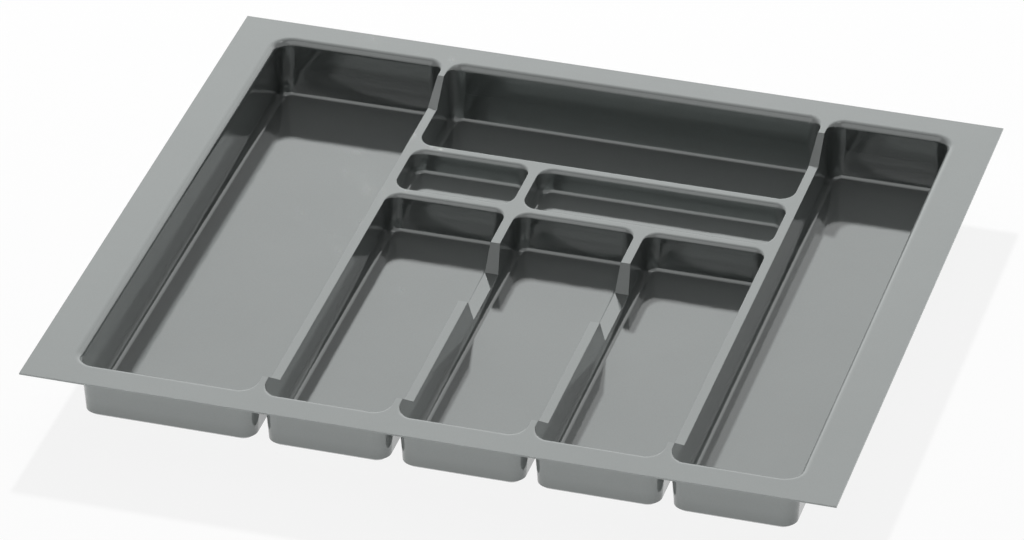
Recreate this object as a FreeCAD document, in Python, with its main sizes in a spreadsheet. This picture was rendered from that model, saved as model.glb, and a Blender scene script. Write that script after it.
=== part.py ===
import FreeCAD, Part
import math
import os
import Sketcher

# Cutlery tray for a kitchen drawer, formed from one plastic sheet.
# X runs to the right, Y to the back and Z up.
# The origin is below the middle of the tray, on the surface it rests on.

# Driving dimensions in millimetres and degrees
SIZES = [
    ("tray_width", 550.0, "overall, left to right"),
    ("tray_depth", 480.0, "overall, front to back"),
    ("tray_height", 42.7, "from the resting surface to the top of the rim"),
    ("sheet", 1.2, "thickness of the formed sheet"),
    ("side_rim", 31.5, "flat rim at the left and right, up to the pocket wall"),
    ("end_rim", 24.0, "flat rim at the front and back, up to the pocket wall"),
    ("draft_angle", 4.0, "lean of every pocket wall, in degrees"),
    ("corner_radius", 11.5, "upright pocket corners, in plan, at the rim"),
    ("floor_bevel", 1.6, "flat bevel between a pocket floor and its walls"),
    ("rim_lip", 5.2, "round where the rim turns down into a pocket"),
    ("crossbar_lip", 3.5, "round where a crossbar turns down into a pocket"),
    ("divider_edge", 0.5, "round on the long edges of a divider"),
    ("divider_sheet", 2.2, "thickness of the sheet along the top of a divider"),
    ("left_bay", 124.3, "left pocket wall to the middle of the left divider"),
    ("right_bay", 88.1, "right pocket wall to the middle of the right divider"),
    ("rear_bay", 88.0, "back pocket wall to the middle of the rear crossbar"),
    ("small_bay", 59.5, "middle of the rear crossbar to the middle of the middle crossbar"),
    ("small_depth", 31.1, "top of the rim down to the floor of the small pockets"),
    ("divider_drop", 15.0, "top of the rim down to the top of the dividers"),
    ("divider_width", 6.7, "width of a divider at its top"),
    ("crossbar_width", 10.2, "width of a crossbar at its top, between its pocket walls"),
    ("tongue_reach", 17.0, "rim tongue, from the end wall to its tip"),
    ("ramp_run", 20.5, "length in plan of the ramp from a tongue down to its divider"),
    ("saddle_setback", 46.0, "middle of the middle crossbar to the start of the finger saddle"),
    ("saddle_back_run", 9.0, "length in plan of the saddle's back ramp"),
    ("saddle_length", 58.5, "level stretch of the saddle"),
    ("saddle_front_run", 8.8, "length in plan of the saddle's front ramp"),
    ("saddle_drop", 19.4, "top of the divider down to the saddle"),
    ("seam_margin", 0.5, "a region ends this far past the upright corners"),
    ("overrun", 5.0, "cuts and blocks reach this far past what they cut"),
]

FRONT_BAYS = 3
RIGHT_ANGLE = 90
TOLERANCE = 0.001
SLANT_SHARE = 0.5
VOLUME_SHARE = 1e-6

# Places worked out from the driving dimensions, as expressions
TOP = "sizes.tray_height"
LEFT = "(sizes.side_rim - sizes.tray_width / 2)"
RIGHT = "(sizes.tray_width / 2 - sizes.side_rim)"
FRONT = "(sizes.end_rim - sizes.tray_depth / 2)"
BACK = "(sizes.tray_depth / 2 - sizes.end_rim)"
LEFT_DIVIDER = f"({LEFT} + sizes.left_bay)"
RIGHT_DIVIDER = f"({RIGHT} - sizes.right_bay)"
FRONT_PITCH = f"(({RIGHT_DIVIDER} - {LEFT_DIVIDER}) / {FRONT_BAYS})"
FRONT_DIVIDER_LEFT = f"({LEFT_DIVIDER} + {FRONT_PITCH})"
FRONT_DIVIDER_RIGHT = f"({RIGHT_DIVIDER} - {FRONT_PITCH})"
REAR_CROSSBAR = f"({BACK} - sizes.rear_bay)"
MIDDLE_CROSSBAR = f"({REAR_CROSSBAR} - sizes.small_bay)"
DRAFT_SHIFT = "(sizes.divider_drop * tan(sizes.draft_angle))"
HALF_DIVIDER = f"(sizes.divider_width / 2 - {DRAFT_SHIFT})"
HALF_CROSSBAR = f"(sizes.crossbar_width / 2 - {DRAFT_SHIFT})"
DEEP = "(sizes.tray_height - sizes.sheet)"
SHALLOW = "sizes.small_depth"
SEAM = "(sizes.corner_radius + sizes.seam_margin)"
HALF_ANGLE = f"(({RIGHT_ANGLE} + sizes.draft_angle) / 2)"


def seams(middle, half_width):
    """The two seams beside a divider or crossbar, clear of the upright corners next to it."""
    return f"{middle} - {half_width} - {SEAM}", f"{middle} + {half_width} + {SEAM}"


# Walls of each pocket at the level of the rim (left, right, front, back) and its depth
MIDDLE_LEFT = f"{LEFT_DIVIDER} + {HALF_DIVIDER}"
MIDDLE_RIGHT = f"{RIGHT_DIVIDER} - {HALF_DIVIDER}"
SMALL_WALLS = (f"{MIDDLE_CROSSBAR} + {HALF_CROSSBAR}", f"{REAR_CROSSBAR} - {HALF_CROSSBAR}")
FRONT_WALLS = (FRONT, f"{MIDDLE_CROSSBAR} - {HALF_CROSSBAR}")
POCKETS = {
    "left": ((LEFT, f"{LEFT_DIVIDER} - {HALF_DIVIDER}", FRONT, BACK), DEEP),
    "right": ((f"{RIGHT_DIVIDER} + {HALF_DIVIDER}", RIGHT, FRONT, BACK), DEEP),
    "rear": ((MIDDLE_LEFT, MIDDLE_RIGHT, f"{REAR_CROSSBAR} + {HALF_CROSSBAR}", BACK), DEEP),
    "small_left": ((MIDDLE_LEFT, f"{FRONT_DIVIDER_LEFT} - {HALF_DIVIDER}", *SMALL_WALLS), SHALLOW),
    "small_right": ((f"{FRONT_DIVIDER_LEFT} + {HALF_DIVIDER}", MIDDLE_RIGHT, *SMALL_WALLS), SHALLOW),
    "front_left": ((MIDDLE_LEFT, f"{FRONT_DIVIDER_LEFT} - {HALF_DIVIDER}", *FRONT_WALLS), DEEP),
    "front_centre": ((f"{FRONT_DIVIDER_LEFT} + {HALF_DIVIDER}", f"{FRONT_DIVIDER_RIGHT} - {HALF_DIVIDER}",
                      *FRONT_WALLS), DEEP),
    "front_right": ((f"{FRONT_DIVIDER_RIGHT} + {HALF_DIVIDER}", MIDDLE_RIGHT, *FRONT_WALLS), DEEP),
}


# Seams between the regions of the sheet, all across straight stretches, clear of the upright corners
LEFT_END = "-sizes.tray_width / 2"
RIGHT_END = "sizes.tray_width / 2"
FRONT_END = "-sizes.tray_depth / 2"
BACK_END = "sizes.tray_depth / 2"
LEFT_SEAM = f"{LEFT} + {SEAM}"
RIGHT_SEAM = f"{RIGHT} - {SEAM}"
FRONT_SEAM = f"{FRONT} + {SEAM}"
BACK_SEAM = f"{BACK} - {SEAM}"
LEFT_DIVIDER_SEAMS = seams(LEFT_DIVIDER, HALF_DIVIDER)
RIGHT_DIVIDER_SEAMS = seams(RIGHT_DIVIDER, HALF_DIVIDER)
FRONT_LEFT_SEAMS = seams(FRONT_DIVIDER_LEFT, HALF_DIVIDER)
FRONT_RIGHT_SEAMS = seams(FRONT_DIVIDER_RIGHT, HALF_DIVIDER)
REAR_SEAMS = seams(REAR_CROSSBAR, HALF_CROSSBAR)
MIDDLE_SEAMS = seams(MIDDLE_CROSSBAR, HALF_CROSSBAR)

# Each region's left, right, front and back
INNER_LEFT, INNER_RIGHT = LEFT_DIVIDER_SEAMS[1], RIGHT_DIVIDER_SEAMS[0]
SMALL_ROW = (MIDDLE_SEAMS[1], REAR_SEAMS[0])
FRONT_ROW = (FRONT_SEAM, MIDDLE_SEAMS[0])
REGIONS = {
    "front_rim": (LEFT_END, RIGHT_END, FRONT_END, FRONT_SEAM),
    "back_rim": (LEFT_END, RIGHT_END, BACK_SEAM, BACK_END),
    "left_rim": (LEFT_END, LEFT_SEAM, FRONT_SEAM, BACK_SEAM),
    "right_rim": (RIGHT_SEAM, RIGHT_END, FRONT_SEAM, BACK_SEAM),
    "left_divider": (*LEFT_DIVIDER_SEAMS, FRONT_SEAM, BACK_SEAM),
    "right_divider": (*RIGHT_DIVIDER_SEAMS, FRONT_SEAM, BACK_SEAM),
    "rear_crossbar": (INNER_LEFT, INNER_RIGHT, *REAR_SEAMS),
    "middle_crossbar": (INNER_LEFT, INNER_RIGHT, *MIDDLE_SEAMS),
    "small_divider": (*FRONT_LEFT_SEAMS, *SMALL_ROW),
    "front_divider_left": (*FRONT_LEFT_SEAMS, *FRONT_ROW),
    "front_divider_right": (*FRONT_RIGHT_SEAMS, *FRONT_ROW),
    "left_compartment_floor": (LEFT_SEAM, LEFT_DIVIDER_SEAMS[0], FRONT_SEAM, BACK_SEAM),
    "right_compartment_floor": (RIGHT_DIVIDER_SEAMS[1], RIGHT_SEAM, FRONT_SEAM, BACK_SEAM),
    "rear_compartment_floor": (INNER_LEFT, INNER_RIGHT, REAR_SEAMS[1], BACK_SEAM),
    "small_left_compartment_floor": (INNER_LEFT, FRONT_LEFT_SEAMS[0], *SMALL_ROW),
    "small_right_compartment_floor": (FRONT_LEFT_SEAMS[1], INNER_RIGHT, *SMALL_ROW),
    "front_left_compartment_floor": (INNER_LEFT, FRONT_LEFT_SEAMS[0], *FRONT_ROW),
    "front_centre_compartment_floor": (FRONT_LEFT_SEAMS[1], FRONT_RIGHT_SEAMS[0], *FRONT_ROW),
    "front_right_compartment_floor": (FRONT_RIGHT_SEAMS[1], INNER_RIGHT, *FRONT_ROW),
}


def make_sheet(doc):
    """Spreadsheet with one named cell for each driving dimension."""
    table = doc.addObject("Spreadsheet::Sheet", "sizes")
    for row, (name, value, meaning) in enumerate(SIZES, start=1):
        table.set(f"A{row}", name)
        table.set(f"B{row}", str(value))
        table.set(f"C{row}", meaning)
        table.setAlias(f"B{row}", name)
    doc.recompute()
    return table


def add(doc, kind, name, **values):
    """New document object with its properties set and its expressions bound."""
    item = doc.addObject(kind, name)
    item.Label = name
    for key, value in values.items():
        setattr(item, key, value)
    return item


def bind(item, **expressions):
    """Binds properties to expressions. A double underscore in a name stands for a dot."""
    for key, expression in expressions.items():
        item.setExpression(key.replace("__", "."), expression)


def side_profile(doc, name, points):
    """Closed outline in the YZ plane whose corners are pairs of expressions."""
    sketch = add(doc, "Sketcher::SketchObject", name)
    count = len(points)
    turn = 2 * math.pi / count
    unit_points = [FreeCAD.Vector(math.cos(turn * step), math.sin(turn * step), 0) for step in range(count)]
    lines = []
    for step in range(count):
        segment = Part.LineSegment(unit_points[step], unit_points[(step + 1) % count])
        lines.append(sketch.addGeometry(segment))
    start, end, origin = 1, 2, -1
    for step in range(count):
        following = lines[(step + 1) % count]
        sketch.addConstraint(Sketcher.Constraint("Coincident", lines[step], end, following, start))
    for line, unit_point, (along, height) in zip(lines, unit_points, points):
        places = (("DistanceX", unit_point.x, along), ("DistanceY", unit_point.y, height))
        for kind, unit_value, expression in places:
            constraint = Sketcher.Constraint(kind, origin, start, line, start, unit_value)
            number = sketch.addConstraint(constraint)
            sketch.setExpression(f"Constraints[{number}]", expression)
    to_side_view = FreeCAD.Rotation(FreeCAD.Vector(1, 1, 1), 120)
    sketch.Placement = FreeCAD.Placement(FreeCAD.Vector(0, 0, 0), to_side_view)
    return sketch


def edge_work(doc, kind, name, base, sizes):
    """Rounds or bevels the edges that the function sizes gives a pair of sizes for."""
    doc.recompute()
    edges = []
    for number, edge in enumerate(base.Shape.Edges, start=1):
        pair = sizes(edge)
        if pair:
            edges.append((number, *pair))
    # Edges of changing size come first, so that the even edges beside them settle the size where they meet.
    edges.sort(key=lambda entry: entry[1] == entry[2])
    item = add(doc, kind, name, Base=base)
    item.Edges = edges
    doc.recompute()
    return item


def level_edges(height, tolerance):
    """Test for edges that lie wholly at one height."""
    def at_height(edge):
        box = edge.BoundBox
        return abs(box.ZMin - height) < tolerance and abs(box.ZMax - height) < tolerance
    return at_height


def upper_face(table):
    """What the form under the visible face of the sheet is made with."""
    return {"name": "upper", "sink": "0", "divider_sink": "0", "grow": "0", "margin": "0",
            "floor_bevel": table.floor_bevel}


def lower_face(table):
    """The same for the underside, one thickness of sheet further in."""
    half_angle = math.radians(RIGHT_ANGLE + table.draft_angle) / 2
    bevel_share = (1 / math.sin(half_angle) - 1) / math.cos(half_angle)
    grow = "sizes.sheet * (1 / cos(sizes.draft_angle) - tan(sizes.draft_angle))"
    return {"name": "lower", "sink": "sizes.sheet", "divider_sink": "sizes.divider_sheet", "grow": grow,
            "margin": "sizes.overrun", "floor_bevel": table.floor_bevel + bevel_share * table.sheet}


def tapered_block(doc, name, walls, top, growth, depth, lean):
    """Solid below a rounded rectangle whose walls lean inward on the way down."""
    low_x, high_x, low_y, high_y = walls
    corner = "sizes.corner_radius"
    core = add(doc, "Part::Plane", f"{name}_core")
    bind(core,
         Length=f"({high_x}) - ({low_x}) - 2 * {corner}", Width=f"({high_y}) - ({low_y}) - 2 * {corner}",
         Placement__Base__x=f"{low_x} + {corner}", Placement__Base__y=f"{low_y} + {corner}",
         Placement__Base__z=top)
    mouth = add(doc, "Part::Offset2D", f"{name}_mouth", Source=core)
    bind(mouth, Value=f"{corner} + {growth}")
    block = add(doc, "Part::Extrusion", name, Base=mouth, DirMode="Custom",
                Dir=FreeCAD.Vector(0, 0, -1), Solid=True)
    bind(block, LengthFwd=depth, TaperAngle=f"-({lean})")
    return block


def make_pocket(doc, form, name, walls, depth):
    """Drafted pocket with round corners and a bevel at its floor, as a solid to cut away."""
    top = f"{TOP} - {form['sink']}"
    block = tapered_block(doc, f"{form['name']}_{name}_block", walls, top, form["grow"], depth,
                          "sizes.draft_angle")
    doc.recompute()
    on_floor = level_edges(block.Shape.BoundBox.ZMin, TOLERANCE)
    bevel = form["floor_bevel"]
    return edge_work(doc, "Part::Chamfer", f"{form['name']}_{name}_pocket", block,
                     lambda edge: (bevel, bevel) if on_floor(edge) else None)


def make_flare(doc, form, name, walls):
    """Opens out the mouth of a pocket's underside, so that the rolled rim keeps the sheet's thickness."""
    leg = f"(sizes.rim_lip - sizes.sheet) * (1 / sin({HALF_ANGLE}) - 1) / cos({HALF_ANGLE})"
    return tapered_block(doc, f"{form['name']}_{name}_flare", walls, f"{TOP} - {form['sink']}",
                         f"{form['grow']} + {leg}", f"2 * {leg}", HALF_ANGLE)


def ramp_shift(form, run, drop):
    """Expression for how far a ramp moves outward when the sheet's thickness is taken off it."""
    return f"{form['divider_sink']} * (sqrt(({run}) ^ 2 + ({drop}) ^ 2) - ({run})) / ({drop})"


def trough(doc, form, name, outline, low_x, high_x):
    """Solid along X with a side profile, to cut away."""
    profile = side_profile(doc, f"{form['name']}_{name}_profile", outline)
    bind(profile, Placement__Base__x=low_x)
    cutter = add(doc, "Part::Extrusion", f"{form['name']}_{name}", Base=profile, DirMode="Custom",
                 Dir=FreeCAD.Vector(1, 0, 0), Solid=True)
    bind(cutter, LengthFwd=f"({high_x}) - ({low_x})")
    return cutter


def divider_outline(form):
    """Side view of what is cut away above the dividers, with a ramp at each end."""
    top = f"({TOP} - {form['divider_sink']})"
    run, drop = "sizes.ramp_run", "sizes.divider_drop"
    shift = ramp_shift(form, run, drop)
    above = f"sizes.overrun * {run} / {drop}"
    low, high = f"{top} - {drop}", f"{top} + sizes.overrun"
    front_tip, back_tip = f"{FRONT} + sizes.tongue_reach - {shift}", f"{BACK} - sizes.tongue_reach + {shift}"
    return [(f"{front_tip} - {above}", high), (f"{front_tip} + {run}", low),
            (f"{back_tip} - {run}", low), (f"{back_tip} + {above}", high)]


def saddle_outline(form):
    """Side view of the finger saddle in the front dividers."""
    top = f"({TOP} - {form['divider_sink']})"
    drop = "sizes.saddle_drop"
    back_run, front_run = "sizes.saddle_back_run", "sizes.saddle_front_run"
    divider_top = f"{top} - sizes.divider_drop"
    low, high = f"{divider_top} - {drop}", f"{divider_top} + sizes.overrun"
    back = f"{MIDDLE_CROSSBAR} - sizes.saddle_setback + {ramp_shift(form, back_run, drop)}"
    front = (f"{MIDDLE_CROSSBAR} - sizes.saddle_setback - {back_run} - sizes.saddle_length - {front_run}"
             f" - {ramp_shift(form, front_run, drop)}")
    return [(f"{front} - sizes.overrun * {front_run} / {drop}", high), (f"{front} + {front_run}", low),
            (f"{back} - {back_run}", low), (f"{back} + sizes.overrun * {back_run} / {drop}", high)]


def pierced_block(doc, form, voids):
    """Block below one face of the sheet, with the voids cut out of it."""
    name, margin = form["name"], form["margin"]
    block = add(doc, "Part::Box", f"{name}_block")
    bind(block,
         Length=f"sizes.tray_width + 2 * {margin}", Width=f"sizes.tray_depth + 2 * {margin}",
         Height=f"{TOP} - {form['sink']} + sizes.overrun + {margin}",
         Placement__Base__x=f"-sizes.tray_width / 2 - {margin}",
         Placement__Base__y=f"-sizes.tray_depth / 2 - {margin}",
         Placement__Base__z=f"-sizes.overrun - {margin}")
    joined = add(doc, "Part::MultiFuse", f"{name}_voids", Shapes=voids)
    return add(doc, "Part::Cut", f"{name}_pierced", Base=block, Tool=joined)


def divider_trough(doc, form):
    """What is cut away above the dividers and crossbars."""
    return trough(doc, form, "divider_cut", divider_outline(form),
                  f"{LEFT_DIVIDER} - {HALF_DIVIDER} - {SEAM}", f"{RIGHT_DIVIDER} + {HALF_DIVIDER} + {SEAM}")


def saddle_trough(doc, form):
    """What is cut away for the finger saddles in the front dividers."""
    return trough(doc, form, "saddle_cut", saddle_outline(form),
                  f"{FRONT_DIVIDER_LEFT} - {HALF_DIVIDER} - {SEAM}",
                  f"{FRONT_DIVIDER_RIGHT} + {HALF_DIVIDER} + {SEAM}")


def make_upper_form(doc, table):
    """Solid below the visible face: pockets with rounded lips, lowered dividers and finger saddles."""
    form = upper_face(table)
    voids = [make_pocket(doc, form, name, *place) for name, place in POCKETS.items()]
    pierced = pierced_block(doc, form, voids)
    doc.recompute()
    walls = pierced.Tool.Shape.BoundBox
    at_rim = level_edges(walls.ZMax, TOLERANCE)

    def beside_rim(point):
        gaps = (point.x - walls.XMin, walls.XMax - point.x, point.y - walls.YMin, walls.YMax - point.y)
        return abs(min(gaps)) < TOLERANCE

    def rim_radii(edge):
        ends = (edge.firstVertex().Point, edge.lastVertex().Point)
        inside = walls.isInside(edge.BoundBox.Center)
        if not (inside and at_rim(edge)):
            return None
        return [table.rim_lip if beside_rim(end) else table.divider_edge for end in ends]

    lipped = edge_work(doc, "Part::Fillet", "upper_lipped", pierced, rim_radii)
    cut = divider_trough(doc, form)
    lowered = add(doc, "Part::Cut", "upper_lowered", Base=lipped, Tool=cut)
    doc.recompute()
    level = cut.Shape.BoundBox.ZMin
    at_divider = level_edges(level, TOLERANCE)
    creases = [vertex.Y for vertex in cut.Shape.Vertexes if abs(vertex.Z - level) < TOLERANCE]

    def divider_radii(edge):
        if not at_divider(edge):
            return None
        ends = (edge.firstVertex().Point, edge.lastVertex().Point)
        if any(all(abs(end.y - crease) < TOLERANCE for end in ends) for crease in creases):
            return None
        return [table.crossbar_lip if abs(edge.tangentAt(place).x) > SLANT_SHARE else table.divider_edge
                for place in (edge.FirstParameter, edge.LastParameter)]

    rounded = edge_work(doc, "Part::Fillet", "upper_rounded", lowered, divider_radii)
    return add(doc, "Part::Cut", "upper_form", Base=rounded, Tool=saddle_trough(doc, form))


def make_lower_form(doc, table):
    """Solid below the underside of the sheet, which leaves the dividers hollow."""
    form = lower_face(table)
    voids = [make_pocket(doc, form, name, *place) for name, place in POCKETS.items()]
    voids += [make_flare(doc, form, name, walls) for name, (walls, depth) in POCKETS.items()]
    pierced = pierced_block(doc, form, voids)
    lowered = add(doc, "Part::Cut", "lower_lowered", Base=pierced, Tool=divider_trough(doc, form))
    return add(doc, "Part::Cut", "lower_form", Base=lowered, Tool=saddle_trough(doc, form))


def divide(doc, sheet):
    """The sheet cut along its form lines into named regions, one object each."""
    regions = []
    for name, (low_x, high_x, low_y, high_y) in REGIONS.items():
        window = add(doc, "Part::Box", f"{name}_window")
        bind(window,
             Length=f"({high_x}) - ({low_x})", Width=f"({high_y}) - ({low_y})",
             Height=f"{TOP} + 2 * sizes.overrun",
             Placement__Base__x=low_x, Placement__Base__y=low_y, Placement__Base__z="-sizes.overrun")
        regions.append(add(doc, "Part::Common", name, Base=sheet, Tool=window))
    doc.recompute()
    return regions


def check(doc, regions, sheet):
    """Stops the build if an object failed, a shape is not valid or the regions do not add up to the sheet."""
    for item in doc.Objects:
        if {"Invalid", "Error"} & set(item.State):
            raise RuntimeError(f"{item.Label} failed: {item.State}")
        shape = getattr(item, "Shape", None)
        if shape is not None and (shape.isNull() or not shape.isValid()):
            raise RuntimeError(f"{item.Label} has no valid shape")
    for region in regions:
        if len(region.Shape.Solids) != 1:
            raise RuntimeError(f"{region.Label} is not one solid")
    total = sum(region.Shape.Volume for region in regions)
    if abs(total - sheet.Shape.Volume) > VOLUME_SHARE * sheet.Shape.Volume:
        raise RuntimeError(f"the regions hold {total}, the sheet {sheet.Shape.Volume}")


doc = FreeCAD.newDocument("cutlery_tray")
table = make_sheet(doc)
upper = make_upper_form(doc, table)
lower = make_lower_form(doc, table)
sheet = add(doc, "Part::Cut", "tray_sheet", Base=upper, Tool=lower)
regions = divide(doc, sheet)
check(doc, regions, sheet)
os.makedirs("parts", exist_ok=True)
for region in regions:
    region.Shape.Solids[0].exportStep(f"parts/{region.Label}.step")
print(len(regions), "regions,", round(sheet.Shape.Volume), "cubic millimetres of sheet")
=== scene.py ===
import math

import bmesh
import bpy
from mathutils import Euler, Matrix, Vector


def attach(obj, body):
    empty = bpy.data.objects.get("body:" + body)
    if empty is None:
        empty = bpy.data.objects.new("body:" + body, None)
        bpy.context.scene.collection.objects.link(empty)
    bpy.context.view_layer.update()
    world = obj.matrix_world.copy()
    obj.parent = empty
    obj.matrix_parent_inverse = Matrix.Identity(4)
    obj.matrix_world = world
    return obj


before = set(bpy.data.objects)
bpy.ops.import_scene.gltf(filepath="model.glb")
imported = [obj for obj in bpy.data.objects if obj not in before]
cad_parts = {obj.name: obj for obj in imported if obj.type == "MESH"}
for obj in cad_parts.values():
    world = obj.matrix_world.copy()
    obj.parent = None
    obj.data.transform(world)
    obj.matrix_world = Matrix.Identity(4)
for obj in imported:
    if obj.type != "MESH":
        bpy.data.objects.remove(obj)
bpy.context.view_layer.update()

MM = 0.001

# Sizes of the solids that the floor rounds follow, in millimetres.
RIM_LEVEL = 42.7
DIVIDER_DROP = 15.0
DRAFT = math.radians(4.0)
CORNER_RADIUS = 11.5
FLOOR_BEVEL = 1.6
DEEP_FLOOR = 1.2
SMALL_FLOOR = 11.6
# Outer walls of the pockets at the level of the rim, to either side of the tray's middle.
SIDE_WALL = 243.5
END_WALL = 216.0
# Middle lines of the dividers and crossbars, and their widths at the level of the divider tops.
LEFT_DIVIDER = -119.2
RIGHT_DIVIDER = 155.4
DIVIDER_WIDTH = 6.7
REAR_CROSSBAR = 128.0
MIDDLE_CROSSBAR = 68.5
CROSSBAR_WIDTH = 10.2
FRONT_POCKETS = 3

# The heel between wall and floor, in millimetres: a round, and a wall that leans in more towards it.
FLOOR_ROUND = 3.0
SIDE_RISE = 6.8
SIDE_LEAN = math.radians(30.0)
END_RISE = 20.0
SMALL_END_RISE = 10.0
END_LEAN = math.radians(14.0)
# How far the top of a heel stands in front of the wall, and how deep the heel is seated in the sheet.
PROUD = 0.05
SEAT = 0.3
ARC_STEPS = 14
HEEL_STEPS = 8
CORNER_STEPS = 16

# Camera of the photograph: lens and sensor in millimetres, place in metres.
LENS = 237.3
SENSOR_WIDTH = 36.0
CAMERA_PLACE = (1.06325, -3.68500, 2.47406)
CAMERA_TURN = math.radians(16.228)
CAMERA_TILT = math.radians(32.566)

# The key lamp stands behind the tray, where the floors would mirror it to the camera. Lengths in metres.
MIDDLE = (0, 0, 0)
KEY_AIM = Vector((-0.270, 0.817, 0.509))
KEY_DISTANCE = 5.6
KEY_SIZE = 0.21
KEY_RADIANCE = 3100
# Panels that only reflections show: place, point that they face, width and height, radiance.
PANELS = {
    "back": ((0.2, 3.0, 1.7), (0.2, 0, 1.7), (5.0, 3.4), 0.25),
    "front": ((-0.5, -2.2, 2.4), MIDDLE, (4.0, 3.6), 0.55),
    "side": ((1.6, 2.8, 1.2), MIDDLE, (2.2, 1.8), 0.3),
    "glint": ((0.71, 0.44, 1.82), MIDDLE, (0.4, 0.4), 1.5),
}
# A low strip far in front lights the cups from below the level of the rim.
STRIP_PLACE = (0.1, -4.0, 0.021)
STRIP_TARGET = (0.1, 0, 0.021)
STRIP_SIZE = (6.0, 0.03)
STRIP_RADIANCE = 140
# The soft light is strongest along its aim, from behind and above. Its edge is a cosine to that aim.
SOFT_AIM = (-0.2, 0.78, 0.59)
SOFT_EDGE = 0.2
SOFT_STRENGTH = 0.55
FLOOR_SIZE = 20
FLOOR_COLOUR = (0.9, 0.9, 0.9, 1)
FLOOR_GLOW_SHARE = 0.88

# Grey plastic with a little metallic pigment. Painted shade darkens the deep floors and the feet of their
# walls.
GREY = (0.29, 0.31, 0.305, 1)
PIGMENT = 0.2
GLOSS_IOR = 1.6
DEEP_SHADE_TONE = 0.86
# Scale and detail of each noise.
MOTTLE = (14, 3)
GRAIN = (1400, 2)
WAVE = (70, 1)
SMUDGE = (24, 4)
# How far mottle, grain and wear change the tone.
MOTTLE_TONE = 0.015
GRAIN_TONE = 0.03
WEAR_TONE = 0.05
# Roughness from clean to smudged, and what wear adds.
ROUGHNESS = (0.035, 0.07)
WEAR_ROUGHNESS = 0.04
# Height of the relief in metres, and how much higher the waves are than the grain.
RELIEF = 1e-5
WAVE_SHARE = 6.0
# Most of a noise lies in this range. Wear shows where the smudges lie in theirs.
NOISE_RANGE = (0.3, 0.7)
WORN_RANGE = (0.4, 0.65)
# Upward part of the normal where walls end and rolled edges begin, and where those end in level faces.
WALL_END = (0.2, 0.5)
LEVEL_START = (0.9, 0.99)


def link(name, data):
    item = bpy.data.objects.new(name, data)
    bpy.context.scene.collection.objects.link(item)
    return item


def node(tree, kind, sockets=None, **settings):
    """New shader node with its settings and its sockets, each a plain value or a link."""
    item = tree.nodes.new(kind)
    for name, value in settings.items():
        setattr(item, name, value)
    for name, value in (sockets or {}).items():
        if isinstance(value, bpy.types.NodeSocket):
            tree.links.new(value, item.inputs[name])
        else:
            item.inputs[name].default_value = value
    return item


def math_node(tree, operation, first, second):
    return node(tree, "ShaderNodeMath", {0: first, 1: second}, operation=operation).outputs[0]


def noise(tree, place, scale, detail):
    sockets = {"Vector": place, "Scale": scale, "Detail": detail}
    return node(tree, "ShaderNodeTexNoise", sockets).outputs[0]


def spread(tree, value, low, high, source=NOISE_RANGE):
    """A value carried from its source range over to low and high, and held at the ends."""
    start, end = source
    sockets = {"Value": value, "From Min": start, "From Max": end, "To Min": low, "To Max": high}
    return node(tree, "ShaderNodeMapRange", sockets).outputs[0]


def add_camera():
    data = bpy.data.cameras.new("camera")
    data.sensor_fit = "HORIZONTAL"
    data.sensor_width = SENSOR_WIDTH
    data.lens = LENS
    camera = link("camera", data)
    facing = Euler((math.pi / 2 - CAMERA_TILT, 0, CAMERA_TURN))
    camera.matrix_world = Matrix.Translation(CAMERA_PLACE) @ facing.to_matrix().to_4x4()
    bpy.context.scene.camera = camera


def add_area(name, place, target, size, radiance):
    """Area lamp of a given radiance, which the camera doesn't see."""
    width, height = size
    data = bpy.data.lights.new(name, "AREA")
    data.shape = "RECTANGLE"
    data.size = width
    data.size_y = height
    data.energy = radiance * math.pi * width * height
    lamp = link(name, data)
    lamp.location = place
    lamp.rotation_euler = (Vector(place) - Vector(target)).to_track_quat("Z", "Y").to_euler()
    lamp.visible_camera = False
    return lamp


def add_lamps():
    key = add_area("key", KEY_AIM * KEY_DISTANCE, MIDDLE, (KEY_SIZE, KEY_SIZE), KEY_RADIANCE)
    key.visible_glossy = False
    for name, (place, target, size, radiance) in PANELS.items():
        panel = add_area(name, place, target, size, radiance)
        panel.visible_diffuse = False
    strip = add_area("low_front", STRIP_PLACE, STRIP_TARGET, STRIP_SIZE, STRIP_RADIANCE)
    strip.visible_glossy = False


def pocket_walls():
    """Walls of each pocket at rim level (left, right, front, back), and the height of its floor."""
    narrowing = DIVIDER_DROP * math.tan(DRAFT)
    divider = DIVIDER_WIDTH / 2 - narrowing
    crossbar = CROSSBAR_WIDTH / 2 - narrowing
    pitch = (RIGHT_DIVIDER - LEFT_DIVIDER) / FRONT_POCKETS
    first, second, third, fourth = [LEFT_DIVIDER + pitch * step for step in range(FRONT_POCKETS + 1)]
    small_ends = (MIDDLE_CROSSBAR + crossbar, REAR_CROSSBAR - crossbar)
    front_ends = (-END_WALL, MIDDLE_CROSSBAR - crossbar)
    return {
        "left": ((-SIDE_WALL, first - divider, -END_WALL, END_WALL), DEEP_FLOOR),
        "right": ((fourth + divider, SIDE_WALL, -END_WALL, END_WALL), DEEP_FLOOR),
        "rear": ((first + divider, fourth - divider, REAR_CROSSBAR + crossbar, END_WALL), DEEP_FLOOR),
        "small_left": ((first + divider, second - divider, *small_ends), SMALL_FLOOR),
        "small_right": ((second + divider, fourth - divider, *small_ends), SMALL_FLOOR),
        "front_left": ((first + divider, second - divider, *front_ends), DEEP_FLOOR),
        "front_centre": ((second + divider, third - divider, *front_ends), DEEP_FLOOR),
        "front_right": ((third + divider, fourth - divider, *front_ends), DEEP_FLOOR),
    }


def wall_reach(height):
    """How far a pocket wall lies outside the rectangle of its corner centres, at a height."""
    return CORNER_RADIUS - (RIM_LEVEL - height) * math.tan(DRAFT)


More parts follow.
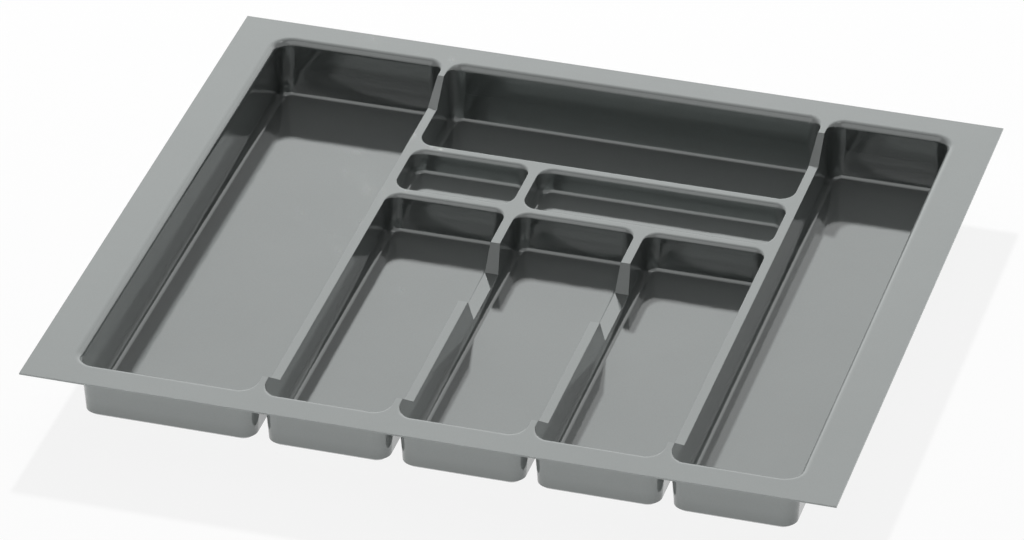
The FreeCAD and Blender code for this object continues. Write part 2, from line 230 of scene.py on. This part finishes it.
def heel_section(floor, rise, lean):
    """Closed section of a heel as two lists of pairs (reach, height): what shows, then what is seated."""
    top = floor + rise
    start = floor + FLOOR_ROUND * (1 - math.sin(lean))
    bend = (math.tan(lean) - math.tan(DRAFT)) / (2 * (top - start))
    centre = wall_reach(start) - PROUD - bend * (top - start) ** 2 - FLOOR_ROUND * math.cos(lean)
    shown = []
    for step in range(ARC_STEPS + 1):
        angle = (math.pi / 2 - lean) * step / ARC_STEPS
        reach = centre + FLOOR_ROUND * math.sin(angle)
        shown.append((reach, floor + FLOOR_ROUND * (1 - math.cos(angle))))
    for step in range(1, HEEL_STEPS + 1):
        height = start + (top - start) * step / HEEL_STEPS
        shown.append((wall_reach(height) - PROUD - bend * (top - height) ** 2, height))
    bevel_top = floor + FLOOR_BEVEL * math.cos(DRAFT)
    seated = [(wall_reach(top) + SEAT, top),
              (wall_reach(bevel_top) + SEAT, bevel_top),
              (wall_reach(floor) - FLOOR_BEVEL, floor - SEAT),
              (centre, floor - SEAT)]
    return shown, seated


def heel_columns(walls, floor):
    """Sections of a heel all round a pocket in metres, and how many points of each one show."""
    left, right, front, back = walls
    end_rise = END_RISE if floor == DEEP_FLOOR else SMALL_END_RISE
    corners = [(right - CORNER_RADIUS, back - CORNER_RADIUS),
               (left + CORNER_RADIUS, back - CORNER_RADIUS),
               (left + CORNER_RADIUS, front + CORNER_RADIUS),
               (right - CORNER_RADIUS, front + CORNER_RADIUS)]
    columns = []
    for corner, (x, y) in enumerate(corners):
        for step in range(CORNER_STEPS + 1):
            angle = math.pi / 2 * (corner + step / CORNER_STEPS)
            side_share = math.cos(angle) ** 2
            rise = end_rise + (SIDE_RISE - end_rise) * side_share
            lean = END_LEAN + (SIDE_LEAN - END_LEAN) * side_share
            shown, seated = heel_section(floor, rise, lean)
            columns.append([Vector((x + reach * math.cos(angle), y + reach * math.sin(angle), height)) * MM
                            for reach, height in shown + seated])
    return columns, len(shown)


def add_floor_round(name, walls, floor, material):
    """Concave heel between a pocket's floor and its walls, a closed ring seated in the sheet."""
    sections, shown_count = heel_columns(walls, floor)
    mesh = bmesh.new()
    columns = [[mesh.verts.new(point) for point in section] for section in sections]
    for index, column in enumerate(columns):
        beside = columns[(index + 1) % len(columns)]
        for row in range(len(column)):
            above = (row + 1) % len(column)
            face = mesh.faces.new((column[row], column[above], beside[above], beside[row]))
            face.smooth = row < shown_count - 1
    bmesh.ops.recalc_face_normals(mesh, faces=mesh.faces)
    for index, column in enumerate(columns):
        beside = columns[(index + 1) % len(columns)]
        for row in (0, shown_count - 1):
            mesh.edges.get((column[row], beside[row])).smooth = False
    data = bpy.data.meshes.new(name)
    mesh.to_mesh(data)
    mesh.free()
    data.materials.append(material)
    piece = link(name, data)
    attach(piece, "root")


def plastic():
    """Glossy grey sheet plastic: fine grain, slow waves, uneven gloss, lighter worn edges and painted shade
    at the deep floors.
    """
    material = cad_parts["front_rim"].data.materials[0]
    material.use_nodes = True
    tree = material.node_tree
    tree.nodes.clear()
    place = node(tree, "ShaderNodeTexCoord").outputs["Object"]
    mottle = noise(tree, place, *MOTTLE)
    grain = noise(tree, place, *GRAIN)
    wave = noise(tree, place, *WAVE)
    smudge = noise(tree, place, *SMUDGE)

    # Wear follows the rolled lips and edges, which are neither level nor upright.
    normal = node(tree, "ShaderNodeNewGeometry").outputs["Normal"]
    upward = node(tree, "ShaderNodeSeparateXYZ", {0: normal}).outputs["Z"]
    off_walls = spread(tree, upward, 0, 1, WALL_END)
    off_level = spread(tree, upward, 1, 0, LEVEL_START)
    rolled = math_node(tree, "MULTIPLY", off_walls, off_level)
    wear = math_node(tree, "MULTIPLY", rolled, spread(tree, smudge, 0, 1, WORN_RANGE))

    mottled = spread(tree, mottle, 1 - MOTTLE_TONE, 1 + MOTTLE_TONE)
    tone = math_node(tree, "ADD", mottled, spread(tree, grain, -GRAIN_TONE, GRAIN_TONE))
    tone = math_node(tree, "ADD", tone, math_node(tree, "MULTIPLY", wear, WEAR_TONE))
    # Painted shade: the colour darkens from the small floors' height down to the deep floors, as if the
    # pocket walls shut out light.
    rise = node(tree, "ShaderNodeSeparateXYZ", {0: place}).outputs["Z"]
    deep_shade = spread(tree, rise, DEEP_SHADE_TONE, 1, (DEEP_FLOOR * MM, SMALL_FLOOR * MM))
    tone = math_node(tree, "MULTIPLY", tone, deep_shade)
    colour = node(tree, "ShaderNodeHueSaturation", {"Color": GREY, "Value": tone}).outputs[0]

    worn = math_node(tree, "MULTIPLY", wear, WEAR_ROUGHNESS)
    roughness = math_node(tree, "ADD", spread(tree, smudge, *ROUGHNESS), worn)
    height = math_node(tree, "ADD", grain, math_node(tree, "MULTIPLY", wave, WAVE_SHARE))
    relief = node(tree, "ShaderNodeBump", {"Height": height, "Distance": RELIEF, "Strength": 1.0}).outputs[0]
    sockets = {"Base Color": colour, "Roughness": roughness, "Normal": relief,
               "Metallic": PIGMENT, "IOR": GLOSS_IOR}
    shader = node(tree, "ShaderNodeBsdfPrincipled", sockets)
    node(tree, "ShaderNodeOutputMaterial", {"Surface": shader.outputs[0]})
    return material


def add_floor():
    """Plain white floor with a faint shadow of the tray. Its glow reaches camera and mirror rays only."""
    bpy.ops.mesh.primitive_plane_add(size=FLOOR_SIZE)
    floor = bpy.context.object
    floor.name = "floor"
    material = bpy.data.materials.new("floor")
    material.use_nodes = True
    tree = material.node_tree
    tree.nodes.clear()
    diffuse = node(tree, "ShaderNodeBsdfDiffuse", {"Color": FLOOR_COLOUR})
    glow = node(tree, "ShaderNodeEmission", {"Strength": 1.0})
    path = node(tree, "ShaderNodeLightPath").outputs
    mirrored = math_node(tree, "MAXIMUM", path["Is Glossy Ray"], path["Is Transmission Ray"])
    in_view = math_node(tree, "MULTIPLY", path["Is Camera Ray"], FLOOR_GLOW_SHARE)
    share = math_node(tree, "MAXIMUM", mirrored, in_view)
    mix = node(tree, "ShaderNodeMixShader", {0: share, 1: diffuse.outputs[0], 2: glow.outputs[0]})
    node(tree, "ShaderNodeOutputMaterial", {"Surface": mix.outputs[0]})
    floor.data.materials.append(material)


def set_world():
    """White surroundings for the camera and for reflections, with soft light from behind for the rest."""
    world = bpy.data.worlds.new("studio")
    bpy.context.scene.world = world
    world.use_nodes = True
    tree = world.node_tree
    direction = node(tree, "ShaderNodeTexCoord").outputs["Generated"]
    aim = {0: direction, 1: SOFT_AIM}
    near = node(tree, "ShaderNodeVectorMath", aim, operation="DOT_PRODUCT").outputs["Value"]
    soft = spread(tree, near, 0, SOFT_STRENGTH, (SOFT_EDGE, 1))
    path = node(tree, "ShaderNodeLightPath").outputs
    seen = math_node(tree, "MAXIMUM", path["Is Camera Ray"], path["Is Glossy Ray"])
    seen = math_node(tree, "MAXIMUM", seen, path["Is Transmission Ray"])
    # A reflection that follows a diffuse bounce would only add light, so it meets the soft light alone.
    direct = math_node(tree, "LESS_THAN", path["Diffuse Depth"], 1)
    seen = math_node(tree, "MULTIPLY", seen, direct)
    background = tree.nodes["Background"]
    background.inputs["Color"].default_value = (1, 1, 1, 1)
    tree.links.new(math_node(tree, "MAXIMUM", soft, seen), background.inputs["Strength"])


add_camera()
add_lamps()
set_world()
add_floor()
grey = plastic()
for name, (walls, floor_height) in pocket_walls().items():
    add_floor_round(f"{name}_floor_round", walls, floor_height, grey)

bpy.context.scene.view_settings.view_transform = "Standard"
